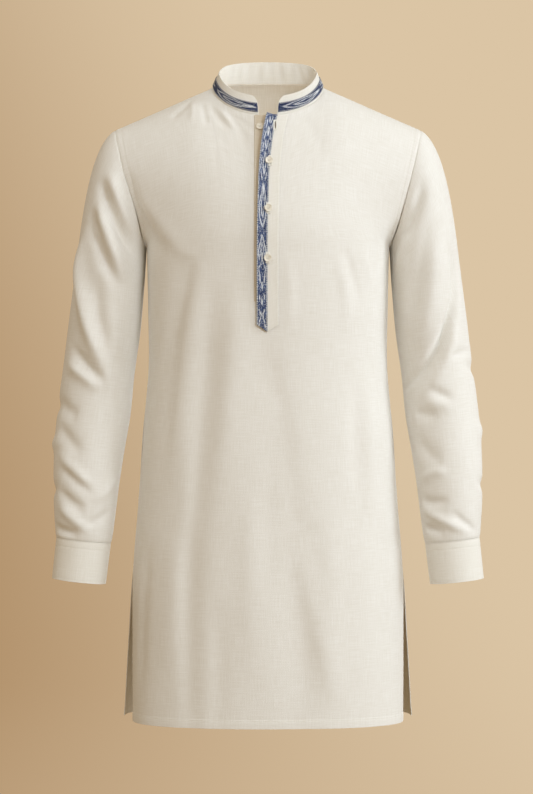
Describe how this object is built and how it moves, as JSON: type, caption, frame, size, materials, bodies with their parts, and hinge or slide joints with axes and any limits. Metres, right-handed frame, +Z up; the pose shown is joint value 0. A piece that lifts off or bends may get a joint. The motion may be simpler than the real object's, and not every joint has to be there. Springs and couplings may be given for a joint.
{
  "type": "kurta tunic",
  "caption": "Straight-cut kurta tunic with band collar, half placket, ribbon trim, long set-in sleeves, cuffs and side slits, filled out as worn.",
  "frame": {"origin": "middle of the neck opening, level with the points where the shoulder seams meet the collar", "axes": "-Y to the front, +X to the wearer's left, +Z up"},
  "size_m": [0.6642, 0.2748, 1.0256],
  "materials": {
    "linen": "plain-woven slubby linen and cotton, cream, matt",
    "ribbon": "woven ikat ribbon, indigo with feathered white diamonds",
    "button": "cream, softly polished, four holes"
  },
  "bodies": {
    "root": {"front_panel": "linen", "back_panel": "linen", "sleeve_left": "linen", "sleeve_right": "linen", "cuff_left": "linen", "cuff_right": "linen", "collar_band": "linen", "under_placket": "linen", "upper_placket": "linen", "collar_trim": "ribbon", "placket_trim": "ribbon", "button_1": "button", "button_2": "button", "button_3": "button", "button_4": "button"}
  },
  "joints": []
}
